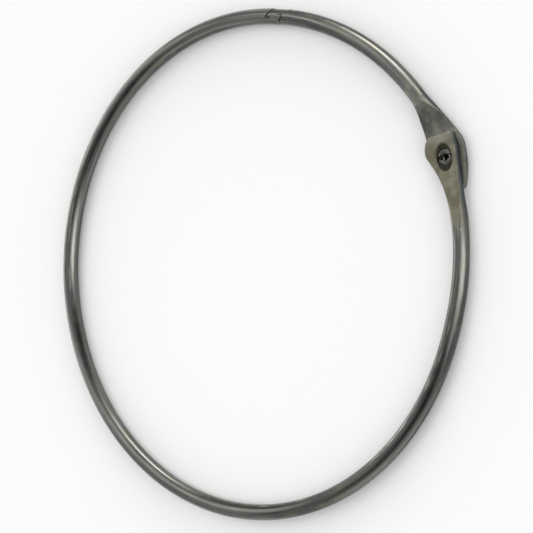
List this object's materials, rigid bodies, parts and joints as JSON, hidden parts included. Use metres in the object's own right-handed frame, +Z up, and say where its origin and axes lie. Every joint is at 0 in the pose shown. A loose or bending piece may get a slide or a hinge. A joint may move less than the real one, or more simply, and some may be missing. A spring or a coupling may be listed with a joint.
{
  "type": "hinged key ring",
  "caption": "Large flat key ring of round steel wire with a riveted swing gate and a toothed lap catch, lying on its side.",
  "frame": {"origin": "on the surface it lies on, under the middle of the closed ring's box", "axes": "+Z up out of the flat ring, +X from the middle towards the rivet, +Y towards the gate's side"},
  "size_m": [0.1583, 0.1524, 0.0048],
  "materials": {
    "arm_plate": "polished nickel plate, dulled and scratched by use",
    "gate_plate": "polished nickel plate, dulled where it was forged",
    "rivet_steel": "plated steel, darkened in the recess"
  },
  "bodies": {
    "ring": {"long_arm": "arm_plate", "hinge_rivet": "rivet_steel"},
    "gate": {"gate": "gate_plate"}
  },
  "joints": [
    {"name": "gate_swing", "type": "hinge", "parent": "ring", "child": "gate", "pos_m": [0.07281, 0, 0.00238], "axis": [0, 0, -1], "range_deg": [0, 145]}
  ]
}
